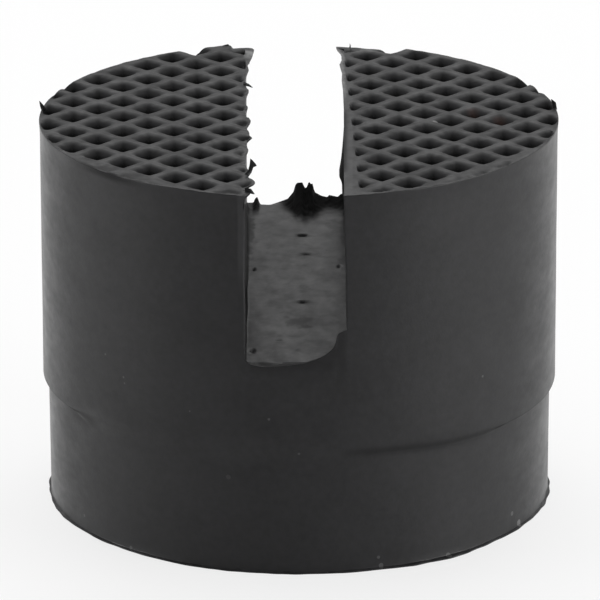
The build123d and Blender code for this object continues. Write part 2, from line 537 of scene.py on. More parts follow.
def pit(i, j):
    """Middle and depth factor of the pit in a cell."""
    middle = grid_place(i, j)
    drift = Vector((cell_wobble(i, j, 0.5), cell_wobble(i, j, 40.5)))
    place = on_pad(middle)
    gap = DRUM_RADIUS + RIM_FLARE - place.length
    depth = 1 + PIT_SPREAD * cell_wobble(i, j, 80.5)
    if abs(middle.x) < HALF_BAND - 1 or gap < -RIM_OVERHANG:
        depth = 0.0
    elif (place - HALF_CLOSED).length < 1:
        depth = HALF_CLOSED_DEPTH
    elif place.y < CLOSED_AT_FRONT and gap < CLOSED_GAP:
        depth = FAINT_MARK
    elif abs(middle.x) < HALF_BAND + 1:
        depth *= HALF_PIT
    return middle + PIT_DRIFT * drift, depth


def pit_profile(across):
    """Depth of a pit at a distance from its middle."""
    side = PIT_SLOPE * ramp(PIT_HALF - across, PIT_EDGE)
    return PIT_FLOOR - ramp(PIT_FLOOR - side, PIT_FLOOR_ROUND)


def plain_strip(side):
    """Half width of the plain strip over the slot, and the length of its edge."""
    return (RIGHT_BAND, RIGHT_STEP) if side > 0 else (HALF_BAND, BAND_STEP)


def tread_depth(x, y):
    """How far the tread lies below the top of its ribs."""
    place = on_tread(x, y)
    i = round((place.x + place.y) / (sqrt(2) * RIB_SPACING))
    j = round((place.y - place.x) / (sqrt(2) * RIB_SPACING))
    middle, factor = pit(i, j)
    if factor == 0:
        return 0.0
    offset = place - middle
    u, v = abs(offset.x + offset.y) / sqrt(2), abs(offset.x - offset.y) / sqrt(2)
    across = (u**PIT_CORNERS + v**PIT_CORNERS) ** (1 / PIT_CORNERS)
    depth = factor * pit_profile(across)
    gap = DRUM_RADIUS + RIM_FLARE - hypot(x, y)
    if factor == FAINT_MARK:
        depth = FAINT_DEPTH - ramp(FAINT_DEPTH - depth, FAINT_ROUND)
        depth *= smooth(gap / LAND_FADE)
    elif y < TORN_RIM:
        depth *= smooth((gap - follow(RIM_LAND, y)) / LAND_FADE)
    strip, step = plain_strip(place.x)
    depth *= smooth((abs(place.x) - strip) / step + 0.5)
    if LEFT_STRIP < x < 0:
        depth *= smooth((left_edge(y) - x - EDGE_LAND) / EDGE_FADE)
    return depth


def sagging(x, y):
    """Depth of the groove where pits closed up at the front."""
    gap = DRUM_RADIUS - hypot(x, y)
    if y > CLOSED_AT_FRONT or gap > SAG_WIDTH:
        return 0.0
    weight = 0.0
    for at_x, at_y, reach in SAGGED_RIM:
        weight += np.exp(-((x - at_x) ** 2 + (y - at_y) ** 2) / reach**2)
    groove = bump(2 * gap / SAG_WIDTH - 1)
    return SAG * min(weight, 1.0) * groove * (1 + wave(x, y, SAG_WAVE))


def rolled(x, y):
    gap = DRUM_RADIUS + RIM_FLARE - hypot(x, y)
    size = sum(most * bump((x - at_x) / half) for at_x, half, most in ROLLED_RIM)
    size *= fade(y, *ROLLED_ALONG)
    if gap > size:
        return 0.0
    return ROLLED_SHARE * (size - sqrt(size**2 - (size - max(gap, 0.0)) ** 2))


def top_height(x, y):
    pit_depth = tread_depth(x, y)
    worn = WORN_DEPTH * fade(y, *WORN_ALONG) * band(x, *WORN_ACROSS)
    height = PAD_TOP - RIB_DROP - pit_depth - worn - sagging(x, y) - rolled(x, y)
    height += wave(x, y, RIB_WAVE) * smooth(1 - pit_depth)
    if LEFT_STRIP < x < 0:
        sunk = smooth(1 - (left_edge(y) - x) / EDGE_SINK_REACH)
        height -= sunk * (EDGE_SINK + abs(wave(x, y, EDGE_WAVE)))
    return height


def square(middle, half, count):
    """Points round a pit at a distance from its middle."""
    points = []
    for k in range(4 * count):
        side, share = divmod(k, count)
        u, v = 1.0, 2 * share / count - 1
        for _ in range(side):
            u, v = -v, u
        size = (abs(u) ** PIT_CORNERS + abs(v) ** PIT_CORNERS) ** (1 / PIT_CORNERS)
        points.append(middle + Vector((u - v, u + v)) * half / size / sqrt(2))
    return points


# Distance of each ring of mesh points from the middle of a pit, and the points on a side
PIT_LOOPS = (
    (PIT_HALF + PIT_EDGE + 0.12, 10), (PIT_HALF + PIT_EDGE - 0.08, 10), (PIT_HALF + 0.15, 10),
    (PIT_HALF, 9), (PIT_HALF - 0.18, 8), (PIT_HALF - 0.38, 7), (0.82, 5), (0.54, 3), (0.28, 2),
    (0.1, 1),
)


def strip_points(side, middle):
    """Mesh points along the edge of the plain strip at a halved pit."""
    strip, step = plain_strip(side)
    points = []
    for y in np.arange(-BAND_LENGTH, BAND_LENGTH, BAND_ROW_STEP):
        for share in BAND_ROWS:
            points.append(Vector((side * (strip + share * step), middle.y + y)))
    return points


def tread_points(side):
    """Mesh points on one half of the tread."""
    reach = 2 * (int(DRUM_RADIUS / RIB_SPACING) + 2)
    strip, step = plain_strip(side)
    points = []
    for i in range(-reach, reach + 1):
        for j in range(-reach, reach + 1):
            cell = grid_place(i, j)
            if on_pad(cell).length > DRUM_RADIUS + RIB_SPACING or side * cell.x < 0:
                continue
            points += square(cell, RIB_SPACING / 2, CELL_POINTS)
            middle, factor = pit(i, j)
            if factor == 0:
                continue
            rings = [point for half, count in PIT_LOOPS for point in square(middle, half, count)]
            if abs(cell.x) < HALF_BAND + 1:
                rings = [p for p in rings if abs(p.x) > strip + BAND_CLEAR * step]
                rings += strip_points(side, middle)
            points += rings
    return [on_pad(p) for p in points]


# Halves of the drum above the slot floor


def wall_radius(drop):
    """Radius of the drum's wall at a distance below the tread."""
    return DRUM_RADIUS + RIM_FLARE * max(0.0, 1 - drop / FLARE_HEIGHT) ** 2


def edge_inset(drop, size):
    """How far a rounded edge draws in at a distance below the tread."""
    return size - sqrt(max(0.0, size**2 - max(0.0, size - drop) ** 2))


def corner_arm(loop, index, step, size):
    """The points of a loop on one side of a corner, up to a distance."""
    corner = Vector(loop[index])
    places = [(index + step * n) % len(loop) for n in range(1, CORNER_POINTS)]
    return [k for k in places if (Vector(loop[k]) - corner).length < size]


def round_corner(loop, index, size):
    if size < LEAST_ROUND:
        return
    corner = Vector(loop[index])
    arms = [corner_arm(loop, index, step, size) for step in (-1, 1)]
    tips = []
    for arm, step in zip(arms, (-1, 1)):
        beyond = (arm[-1] if arm else index) + step
        tips.append((Vector(loop[beyond]) - corner).normalized())
    for side, arm in enumerate(arms):
        for k in arm:
            t = 0.5 - (Vector(loop[k]) - corner).length / size / 2
            moved = corner + size * ((1 - t) ** 2 * tips[side] + t**2 * tips[1 - side])
            loop[k] = (moved.x, moved.y)
    middle = corner + size * (tips[0] + tips[1]) / 4
    loop[index] = (middle.x, middle.y)


def corner_sizes(side, rise):
    """Rounding of the upright edges of a half, front and back."""
    grown = smooth(rise / ROUND_FROM)
    if side > 0:
        return RIGHT_ENDS * grown, RIGHT_ENDS
    front = lerp(*LEFT_FRONT_ROUND, rise) * grown
    return front, lerp(*LEFT_BACK_ROUND, fade(rise, FRAYED_FROM, 1))


def bevel(gap, rise):
    """How far the wall draws in beside the left of the front mouth."""
    return BEVEL_DEPTH * max(0.0, 1 - gap / BEVEL_WIDTH) * fade(rise, *BEVEL_GROWS)


def wall_arc(side, rise, radius, line):
    """The outline of a half along the drum's wall."""
    first, last = (line[0], line[-1]) if side > 0 else (line[-1], line[0])
    start, end = atan2(first[1], first[0]), atan2(last[1], last[0])
    if side < 0:
        end += 2 * pi
    even = np.linspace(0, 1, ARC_COLUMNS)
    arc = []
    for share in even - ARC_CROWDING * np.sin(2 * pi * even) / (2 * pi):
        angle = lerp(start, end, share)
        back = bevel((end - angle) * radius, rise) if side < 0 else 0.0
        arc.append((radius * cos(angle), radius * sin(angle) + back))
    return arc


def half_loop(side, rise, drop, inset):
    """Outline of a half: round the wall, then along the slot, anticlockwise."""
    radius = wall_radius(drop) - inset
    line = slot_line(side, rise, radius, inset)
    arc = wall_arc(side, rise, radius, line)
    if side < 0:
        for k in range(1, len(line) - 1):
            lowest = arc[-1][1] + CROWDED_STEP * k
            if line[k][1] < lowest:
                line[k] = (slot_wall(side, lowest, rise) + side * inset, lowest)
    loop = arc + (line[-2:0:-1] if side > 0 else line[1:-1])
    corners = (0, ARC_COLUMNS - 1) if side > 0 else (ARC_COLUMNS - 1, 0)
    if rise > 0:
        for corner, size in zip(corners, corner_sizes(side, rise)):
            round_corner(loop, corner, size)
    return loop


def half_bottom(side, floor):
    if side > 0:
        along = [row[-1][2] for row in floor[::-1]]
    else:
        along = [row[0][2] for row in floor]
    return [*np.linspace(along[-1], along[0], ARC_COLUMNS), *along[1:-1]]


def half_rows(side, floor):
    """Rows of points up the wall of one half."""
    bottom = half_bottom(side, floor)
    top_loop = half_loop(side, 1, 0, RIM_EDGE)
    top = [top_height(x, y) for x, y in top_loop]
    upper = [height - EDGE_DROPS[0] for height in top]
    full = PAD_TOP - SLOT_FLOOR
    rows = []
    for share in WALL_SHARES:
        rise = share * (1 - EDGE_DROPS[0] / full)
        loop = half_loop(side, rise, (1 - rise) * full, 0)
        rows.append([(x, y, lerp(b, t, share)) for (x, y), b, t in zip(loop, bottom, upper)])
    for drop in EDGE_DROPS:
        loop = half_loop(side, 1 - drop / full, drop, edge_inset(drop, RIM_EDGE))
        rows.append([(x, y, t - drop) for (x, y), t in zip(loop, top)])
    return rows


def thinned(points, gap):
    """The points without those closer than a gap to an earlier one."""
    taken, kept = {}, []
    for p in points:
        cell = (int(p.x // gap), int(p.y // gap))
        near = [taken.get((cell[0] + a, cell[1] + b)) for a in (-1, 0, 1) for b in (-1, 0, 1)]
        if all(q is None or (q - p).length > gap for q in near):
            taken[cell] = p
            kept.append(p)
    return kept


def half_tread(side, outline):
    """Triangles of the tread of one half, inside its outline."""
    tree = kdtree.KDTree(len(outline))
    for index, (x, y, _) in enumerate(outline):
        tree.insert((x, y, 0), index)
    tree.balance()
    rings = [Vector(p) for inset in RIM_LOOPS for p in half_loop(side, 1, 0, RIM_EDGE + inset)]
    inner = thinned(tread_points(side) + rings, POINT_GAP)
    inner = [p for p in inner if tree.find((p.x, p.y, 0))[2] > POINT_GAP]
    flat = [Vector((x, y)) for x, y, _ in outline] + inner
    flat, _, faces, _, _, _ = delaunay_2d_cdt(flat, [], [list(range(len(outline)))], 1, 1e-6)
    return [(p.x, p.y, top_height(p.x, p.y)) for p in flat], faces


# Spigot, shoulder and base


def at_front(y):
    """0 behind the middle, rising to 1 towards the front."""
    return smooth(-y / FRONT_FADE)


def smoothed_over(x, y):
    """How far the shoulder is smoothed over."""
    return at_front(y) * lerp(0.5 * band(x, *HALF_SMOOTHED), 1, band(x, *SMOOTHED))


def shoulder_height(x, y):
    dip = SHOULDER_DIP * fade(x, *DIP_ACROSS) * fade(y, *DIP_ALONG)
    return SHOULDER_HEIGHT - dip + wave(x, y, SHOULDER_WAVE)


def flash_rows(x, y):
    """Radius and height of the rows round the flash at the base."""
    wider = FLASH_WIDER * bump((x - WIDER_AT) / WIDER_REACH) * at_front(y)
    base = SPIGOT_BASE_RADIUS + 0.5 * wider
    flash = base + (FLASH_REACH + 0.5 * wider) * (1 + wave(x, y, FLASH_REACH_WAVE))
    lid = FLASH_HEIGHT * (1 + wave(x, y, FLASH_HEIGHT_WAVE))
    outside = [(flash - 0.1, 0.0), (flash - 0.02, 0.25 * lid), (flash, 0.5 * lid)]
    above = [(flash - 0.03, 0.8 * lid), (flash - 0.1, lid), (base + 0.03, lid + 0.08)]
    return [*outside, *above, (base, lid + 0.2)]


def shoulder_rows(step):
    """Radius and height of the rows across a sharp shoulder."""
    outer = DRUM_RADIUS - SHOULDER_ROUND
    ledge = step + 0.03
    rows = [
        (SPIGOT_TOP_RADIUS, step - 0.2),
        (SPIGOT_TOP_RADIUS + 0.03, step - 0.05),
        (SPIGOT_TOP_RADIUS + 0.12, step),
        (outer, ledge),
    ]
    for turn in SHOULDER_TURNS:
        rows.append((outer + SHOULDER_ROUND * sin(turn), ledge + SHOULDER_ROUND * (1 - cos(turn))))
    return [*rows, (DRUM_RADIUS, step + 0.5), (DRUM_RADIUS, step + 1.0)]


def foot_rows(angle):
    """Radius and height of the rows from the base to above the shoulder."""
    x, y = DRUM_RADIUS * cos(angle), DRUM_RADIUS * sin(angle)
    step, merged = shoulder_height(x, y), smoothed_over(x, y)
    rows = flash_rows(x, y)
    base = rows[-1][0]
    for share in SPIGOT_SHARES:
        height = share * (step - SMOOTH_DROP * merged)
        rows.append((lerp(base, SPIGOT_TOP_RADIUS, share), height))
    edge = shoulder_rows(step)
    for share, (radius, height) in zip(np.linspace(0, 1, len(edge)), edge):
        soft_radius = lerp(SPIGOT_TOP_RADIUS, DRUM_RADIUS, smooth(share))
        soft_height = step - SMOOTH_DROP + SMOOTH_LENGTH * share
        rows.append((lerp(radius, soft_radius, merged), lerp(height, soft_height, merged)))
    return rows


def ring_rows(floor, right, left):
    """Rows of points round the pad, from the base up to the slot floor."""
    top = right[0][:ARC_COLUMNS] + floor[-1][-2:0:-1]
    top += left[0][:ARC_COLUMNS] + floor[0][1:-1]
    feet = [foot_rows(atan2(y, x)) for x, y, _ in top]
    rows = []
    for level in range(len(feet[0])):
        row = []
        for (x, y, _), foot in zip(top, feet):
            radius, height = foot[level]
            scale = radius / hypot(x, y)
            row.append((x * scale, y * scale, height))
        rows.append(row)
    last = rows[-1]
    for share in RING_SHARES:
        rows.append([tuple(lerp(a, b, share) for a, b in zip(p, q)) for p, q in zip(last, top)])
    return rows + [top]


# Putting the skin together


def add_rows(shell, rows, closed):
    """Adds rows of points and the quads between them."""
    points, faces = shell
    start, width = len(points), len(rows[0])
    points += [p for row in rows for p in row]
    for r in range(len(rows) - 1):
        for c in range(width if closed else width - 1):
            a, b = start + r * width + c, start + r * width + (c + 1) % width
            faces.append((a, b, b + width, a + width))


def add_base(shell, edge):
    points, faces = shell
    start = len(points)
    points += [(0.0, 0.0, 0.0), *[(x, y, 0.0) for x, y, _ in edge]]
    count = len(edge)
    faces += [(start, start + 1 + (k + 1) % count, start + 1 + k) for k in range(count)]


def add_tread(shell, side, outline):
    points, faces = shell
    start = len(points)
    tread, triangles = half_tread(side, outline)
    points += tread
    faces += [tuple(start + k for k in face) for face in triangles]


def unevenness(point):
    """Slight waviness of all surfaces, none at the base and the tread."""
    x, y, z = point
    size, further, length = SURFACE_WAVE
    size *= smooth(z / 2) * smooth((PAD_TOP + 1 - z) / 2)
    moved_x = size * wobble(x, y, z, length)
    moved_y = size * wobble(x, y, z + further, length)
    return Vector((x + moved_x, y + moved_y, z))


# Painted shade along the shoulder: below its front, at its left end and along both sides.
def shoulder_shade(x, y, z):
    rise = z - shoulder_height(x, y)
    front = FRONT_SHADE * at_front(y) * band(x, *FRONT_SHADE_ALONG)
    left = LEFT_SHADE * at_front(y) * bump((x - LEFT_SHADE_AT) / LEFT_SHADE_REACH)
    side = fade(abs(x), *SIDE_SHADE)
    return max(
        front * band(rise, *FRONT_SHADE_ACROSS),
        left * band(rise, *LEFT_SHADE_ACROSS),
        side * band(rise, *SIDE_SHADE_ACROSS),
    )


def in_pit(x, z, radius):
    depth = PAD_TOP - z
    return abs(x) > 6.5 and PIT_SHADE_DEPTHS[0] < depth < 2.2 and radius < DRUM_RADIUS - 0.4


def on_left_wall(x, y, z, foot):
    """Whether a place is on the left wall of the slot, above its foot."""
    low, high = LEFT_WALL_PLACES
    return low < x < high and y > -31.3 and SLOT_FLOOR + foot < z < PAD_TOP - 0.6


def wall_streak(y, z):
    """1 in the dark streak across the left wall, 0 beside it."""
    rise = z - SLOT_FLOOR + STREAK_SLOPE * (y + DRUM_RADIUS)
    return bump((rise - STREAK_RISE) / STREAK_HALF)


def below_mouth(x, y, z):
    """Whether a place is on the front wall, below the end of the slot floor."""
    return y < -31 and abs(x) < SLOT_SIDE and z < SLOT_FLOOR + follow(FRONT_LINE, x) + 0.02


def off_floor(x, y, z, radius):
    """Whether a place is not on the slot floor, its lip or its skin."""
    if abs(x) > 7.3 or abs(z - SLOT_FLOOR - 1) > 2 or radius > DRUM_RADIUS + 0.5:
        return True
    on_back_wall = y > 20 and radius > DRUM_RADIUS - 0.1
    return on_back_wall and (z < SLOT_FLOOR - 0.9 or abs(x) > SLOT_SIDE)


def dull_floor(x, y, radius):
    to_tear = to_back_end(x, y) - LIP_EDGE
    around = [to_tear - follow(TORN_REACH, x + step) for step in (-1, -0.5, 0, 0.5, 1)]
    whole = sum(around) / len(around) + wave(x, y, TORN_BORDER)
    dull = fade(whole, *TORN_DULL) * torn_amount(x)
    dull = max(dull, FLOOR_DULL + wave(x, y, FLOOR_BLOTCHES) + wave(x, y, FLOOR_SPECKLE))
    # painted shade on the torn lip, darkest towards its top
    dark = fade(torn_share(x, y), *TORN_LIP_SHADE) * fade(x, *TORN_LIP_SHADE_ACROSS)
    dull = max(dull, dark)
    if y < 0 and abs(x) < SLOT_SIDE:
        dull = max(dull, MOUTH_DULL * smooth(1 - (DRUM_RADIUS - radius) / MOUTH_DULL_LENGTH))
    for *spot, share in SMUDGES:
        away = from_spot(x, y, spot) + wave(x, y, SMUDGE_WAVE) + wave(x, y, SMUDGE_GRAIN)
        dull = max(dull, share * smooth(0.9 - 0.7 * away))
    # painted shade in the nicks, as deep as they are
    for *spot, depth in NICKS:
        dull = max(dull, 2 * depth * np.exp(-from_spot(x, y, spot)))
    return min(dull, 1.0)


def torn_and_shade_look(x, y, z):
    """How dull and dark the rubber is, 1 where torn; elsewhere much of it is painted shade."""
    radius = hypot(x, y)
    # painted shade on the torn flap at the back of the right wall
    if 4 < x < SLOT_SIDE and y > BULGE_FROM and SLOT_FLOOR + 0.5 < z < BULGE_SHADE[0]:
        return fade(z, *BULGE_SHADE)
    # painted shade along the shoulder
    if z < SLOT_FLOOR - 4:
        return shoulder_shade(x, y, z)
    # painted shade in the pits, darker towards the bottom
    if in_pit(x, z, radius):
        return PIT_SHADE * fade(PAD_TOP - z, *PIT_SHADE_DEPTHS)
    # painted shade on the wall just under the front rim
    if y < CLOSED_AT_FRONT and radius > DRUM_RADIUS - 0.3 and z > PAD_TOP - 1.2:
        along = bump((x - RIM_SHADE_AT) / RIM_SHADE_REACH)
        return RIM_SHADE * along * smooth((z - PAD_TOP + 1) / 0.4)
    if z > PAD_TOP + 0.12:
        return BURR_DULL
    if abs(x) > 6.8 and z > PAD_TOP - 0.3:
        return max(RIB_DULL + wave(x, y, RIB_BLOTCHES) + wave(x, y, RIB_SPECKLE), 0.0)
    if x > 4 and z > PAD_TOP - 0.8:
        return EDGE_DULL * smooth((SLOT_SIDE - x) / 0.6) * band(y, *EDGE_DULL_ALONG)
    if on_left_wall(x, y, z, 1):
        return STREAK_DULL * wall_streak(y, z)
    if below_mouth(x, y, z):
        dull = MOUTH_DULL * smooth((SLOT_SIDE - abs(x)) / MOUTH_DULL_LENGTH)
        return dull * smooth((z - SLOT_FLOOR + MOUTH_DULL_DEPTH) / MOUTH_DULL_DEPTH)
    if off_floor(x, y, z, radius):
        return 0.0
    return dull_floor(x, y, radius)


def pale_floor(x, y):
    share = 0.0
    for at_x, at_y, half_width, half_length, most in PALE_PLACES:
        share += most * bump(hypot((x - at_x) / half_width, (y - at_y) / half_length))
    return share * (1 + wave(x, y, PALE_WAVE))


def pale_and_light_look(x, y, z):
    """How pale the rubber is, most where frayed; painted light on the slot's left wall and flash."""
    # painted light on the left wall of the slot beside its streak, and on the flash at the base
    if on_left_wall(x, y, z, 0.3):
        return WALL_PAINTED_LIGHT * (1 - wall_streak(y, z))
    if z < FLASH_PAINTED_LIGHT_TOP:
        return FLASH_PAINTED_LIGHT
    if abs(x) < 6 and abs(z - SLOT_FLOOR) < 0.6:
        return pale_floor(x, y)
    if z < PAD_TOP - 0.8 or y < 5:
        return 0.0
    low, _ = LEFT_WALL_PLACES
    if low < x < -5:
        return band(y, *LEFT_FRAYED) * smooth((x - low) / 0.5)
    if 4 < x < 7:
        gap = x - follow(RIGHT_EDGE, y) + wave(x, y, FRAY_WAVE)
        return RIGHT_FRAYED * fade(gap, *RIGHT_FRAYED_ACROSS) * fade(y, *RIGHT_FRAYED_ALONG)
    return 0.0


# Burrs and slivers: points along each with their half widths
BURRS = (
    (
        (-10.95, 30.6, 48.9, 0.12), (-9.9, 30.9, 49.1, 0.16), (-9.38, 31.1, 49.22, 0.13),
        (-9.1, 31.15, 48.95, 0.03),
    ),
    ((-6.6, 24.2, 48.8, 0.12), (-6.39, 26.0, 49.0, 0.07), (-6.0, 27.5, 49.3, 0.02)),
    ((-7.1, 14.4, 49.1, 0.24), (-6.5, 13.9, 49.05, 0.18), (-6.0, 13.4, 48.9, 0.05)),
    (
        (-6.3, -23.4, 48.9, 0.3), (-5.86, -22.9, 49.3, 0.26), (-5.66, -22.3, 49.8, 0.28),
        (-5.42, -21.3, 50.0, 0.62),
    ),
    ((-6.3, -29.9, 49.0, 0.5), (-5.7, -30.0, 49.1, 0.32), (-5.2, -30.1, 48.75, 0.04)),
    ((5.7, 30.0, 48.9, 0.12), (5.2, 30.0, 49.05, 0.09), (4.75, 30.1, 49.12, 0.02)),
    ((6.47, 31.0, 48.8, 0.12), (6.5, 31.1, 49.15, 0.07), (6.45, 31.1, 49.4, 0.02)),
    ((-32.1, 3.3, 48.9, 0.35), (-32.45, 3.7, 49.5, 0.22), (-32.72, 4.1, 49.95, 0.04)),
    ((32.25, 3.8, 48.9, 0.3), (32.15, 4.1, 49.7, 0.25), (31.8, 4.4, 50.1, 0.05)),
)
BURR_HALF_THICKNESS = 0.09
BURR_SIDES = 6


def add_burr(shell, path):
    """Adds a flat tapered sliver of rubber."""
    rings = []
    for index, (*place, half_width) in enumerate(path):
        before, after = path[max(index - 1, 0)], path[min(index + 1, len(path) - 1)]
        along = (Vector(after[:3]) - Vector(before[:3])).normalized()
        beside = along.cross(Vector((0, 1, 0))).normalized()
        wide = beside * half_width
        thick = along.cross(beside) * min(BURR_HALF_THICKNESS, half_width)
        angles = [turn * 2 * pi / BURR_SIDES for turn in range(BURR_SIDES)]
        rings.append([tuple(Vector(place) + wide * cos(a) + thick * sin(a)) for a in angles])
    points, faces = shell
    start = len(points)
    add_rows(shell, rings, closed=True)
    faces.append(tuple(range(start + BURR_SIDES - 1, start - 1, -1)))
    faces.append(tuple(range(len(points) - BURR_SIDES, len(points))))


def skin_mesh():
    shell = ([], [])
    floor = floor_points()
    right, left = half_rows(1, floor), half_rows(-1, floor)
    ring = ring_rows(floor, right, left)
    add_rows(shell, ring, closed=True)
    add_rows(shell, floor, closed=False)
    for side, rows in ((1, right), (-1, left)):
        add_rows(shell, rows, closed=True)
        add_tread(shell, side, rows[-1])
    add_base(shell, ring[0])
    for path in BURRS:
        add_burr(shell, path)
    points, faces = shell
    mesh = bpy.data.meshes.new(NODE)
    mesh.from_pydata([unevenness(p) * MM for p in points], [], faces)
    work = bmesh.new()
    work.from_mesh(mesh)
    bmesh.ops.remove_doubles(work, verts=work.verts, dist=2e-6)
    bmesh.ops.delete(work, geom=[v for v in work.verts if not v.link_faces], context="VERTS")
    work.to_mesh(mesh)
    work.free()
    mesh.shade_smooth()
    mesh.set_sharp_from_angle(angle=SHARP_ANGLE)
    # torn: dull torn rubber, plus painted shade; pale: frayed rubber and paler floor, plus painted
    # light
    for name, look in (("torn", torn_and_shade_look), ("pale", pale_and_light_look)):
        values = [look(*(v.co / MM)) for v in mesh.vertices]
        mesh.attributes.new(name, "FLOAT", "POINT").data.foreach_set("value", values)
    return mesh


# Material


# Specks below 2.5 mm, at the foot of the spigot, are painted glints; the rest are pale dust.
SPECKS = (
    (-23.74, -22.05, 25.36, 0.17, 0.25), (-21.47, -24.27, 23.13, 0.17, 0.25),
    (-21.35, -24.37, 22.38, 0.14, 0.25), (-21.43, -23.08, 17.98, 0.2, 0.3),
    (-19.43, -25.11, 17.71, 0.2, 0.2), (-13.23, -29.57, 20.6, 0.14, 0.25),
    (-8.54, -30.58, 12.35, 0.3, 0.12), (-4.09, -31.49, 16.21, 0.25, 0.15),
    (-3.51, -32.21, 20.51, 0.2, 0.25), (0.15, -32.3, 15.9, 0.25, 0.2),
    (1.13, -31.5, 12.35, 0.25, 0.15), (22.71, -23.11, 22.86, 0.2, 0.3),
    (-26.9, -16.86, 2.04, 0.2, 0.25), (-20.86, -23.94, 0.46, 0.25, 0.4),
    (10.31, -30.2, 0.5, 0.35, 0.4), (9.94, -30.15, 1.61, 0.2, 0.3), (18.7, -26.2, 0.3, 0.4, 0.4),
    (26.77, -17.07, 2.42, 0.3, 0.35), (27.72, -15.6, 0.61, 0.45, 0.7),
    (17.06, -1.74, 48.9, 0.4, 0.8), (14.23, 1.21, 49.1, 0.22, 0.7),
)  # pale dust, and painted glints at the foot: X, Y, Z, radius and how much it covers
DUST = ((21.83, 3.28, 48.0, 1.5), (25.13, -0.11, 48.0, 1.5))  # brown, in two pits: radius last
RUBBER_DARK = (0.0105, 0.0105, 0.011, 1)
RUBBER_LIGHT = (0.018, 0.018, 0.019, 1)
# the black of torn rubber, also used for painted shade
TORN_AND_SHADE_COLOUR = (0.0035, 0.0035, 0.0035, 1)
# grey of frayed rubber, also used for painted light
PALE_COLOUR = (0.2, 0.2, 0.2, 1)
DUST_COLOUR = (0.06, 0.035, 0.03, 1)
SPECK_COLOUR = (0.14, 0.14, 0.14, 1)
COAT = 0.4  # gloss at grazing angles
GRAIN = (1, 0.45, 1)  # the unevenness of the surface is drawn out along the slot
NOISE_LOW = 0.3  # a noise lies between these for the most part
NOISE_HIGH = 0.7


def add_node(tree, kind, inputs, **settings):
    """A shader node with its inputs and settings."""
    node = tree.nodes.new("ShaderNode" + kind)
    for name, value in settings.items():
        setattr(node, name, value)
    fill(tree, node, inputs)
    return node


def fill(tree, node, inputs):
    """Links each input named to an output, or gives it a value."""
    for name, value in inputs.items():
        if isinstance(value, bpy.types.NodeSocket):
            tree.links.new(value, node.inputs[name])
        else:
            node.inputs[name].default_value = value


def calc(tree, operation, first, second):
    return add_node(tree, "Math", {0: first, 1: second}, operation=operation).outputs[0]


def noise_at(tree, place, size, detail):
    inputs = {"Vector": place, "Scale": 1 / (size * MM), "Detail": detail}
    return add_node(tree, "TexNoise", inputs).outputs["Fac"]


def ranged(tree, value, low, high):
    """A noise stretched to lie between two values."""
    inputs = {"From Min": NOISE_LOW, "From Max": NOISE_HIGH, "To Min": low, "To Max": high}
    return add_node(tree, "MapRange", {"Value": value, **inputs}).outputs["Result"]


def painted(tree, name):
    """A look that the mesh carries for each of its points."""
    return add_node(tree, "Attribute", {}, attribute_name=name).outputs["Fac"]


def mixed_colour(tree, share, first, second):
    inputs = {"Factor": share, "A": first, "B": second}
    return add_node(tree, "Mix", inputs, data_type="RGBA").outputs["Result"]


def gap_to(tree, place, point):
    """Distance from a place to a point in millimetres."""
    inputs = {0: place, 1: Vector(point) * MM}
    return add_node(tree, "VectorMath", inputs, operation="DISTANCE").outputs["Value"]


def speck_share(tree, place):
    covered = 0.0
    for *point, radius, share in SPECKS:
        here = calc(tree, "LESS_THAN", gap_to(tree, place, point), radius * MM)
        covered = calc(tree, "MAXIMUM", calc(tree, "MULTIPLY", here, share), covered)
    return covered


def dust_share(tree, place):
    covered = 0.0
    for *point, radius in DUST:
        away = calc(tree, "DIVIDE", gap_to(tree, place, point), radius * MM)
        covered = calc(tree, "MAXIMUM", calc(tree, "SUBTRACT", 1, away), covered)
    return covered


def rubber_colour(tree, place, drawn, torn):
    """Black; darker where torn or painted shade, paler where frayed, dusty or painted light."""
    tone = tree.nodes.new("ShaderNodeValToRGB")
    low, high = tone.color_ramp.elements
    low.position, high.position = NOISE_LOW, NOISE_HIGH
    low.color, high.color = RUBBER_DARK, RUBBER_LIGHT
    halves = [calc(tree, "MULTIPLY", noise_at(tree, drawn, size, 3), 0.5) for size in (7, 0.9)]
    fill(tree, tone, {"Fac": calc(tree, "ADD", *halves)})
    fray = ranged(tree, noise_at(tree, drawn, 0.8, 4), 0.4, 1)
    # paler where frayed, and painted light on the slot's left wall and the flash
    pale = calc(tree, "MULTIPLY", painted(tree, "pale"), fray)
    # darker where torn, and painted shade
    colour = mixed_colour(tree, torn, tone.outputs["Color"], TORN_AND_SHADE_COLOUR)
    colour = mixed_colour(tree, pale, colour, PALE_COLOUR)
    colour = mixed_colour(tree, dust_share(tree, place), colour, DUST_COLOUR)
    # pale dust specks, and painted glints at the foot of the spigot
    return mixed_colour(tree, speck_share(tree, place), colour, SPECK_COLOUR)


def rubber_roughness(tree, drawn, torn):
    """Patchy gloss, and none where the rubber is torn or where shade is painted."""
    wide = ranged(tree, noise_at(tree, drawn, 4, 3), 0.19, 0.32)
    fine = ranged(tree, noise_at(tree, drawn, 1.1, 3), 0.18, 0.26)
    inputs = {"Factor": torn, "A": calc(tree, "ADD", wide, fine), "B": 0.95}
    return add_node(tree, "Mix", inputs).outputs["Result"]


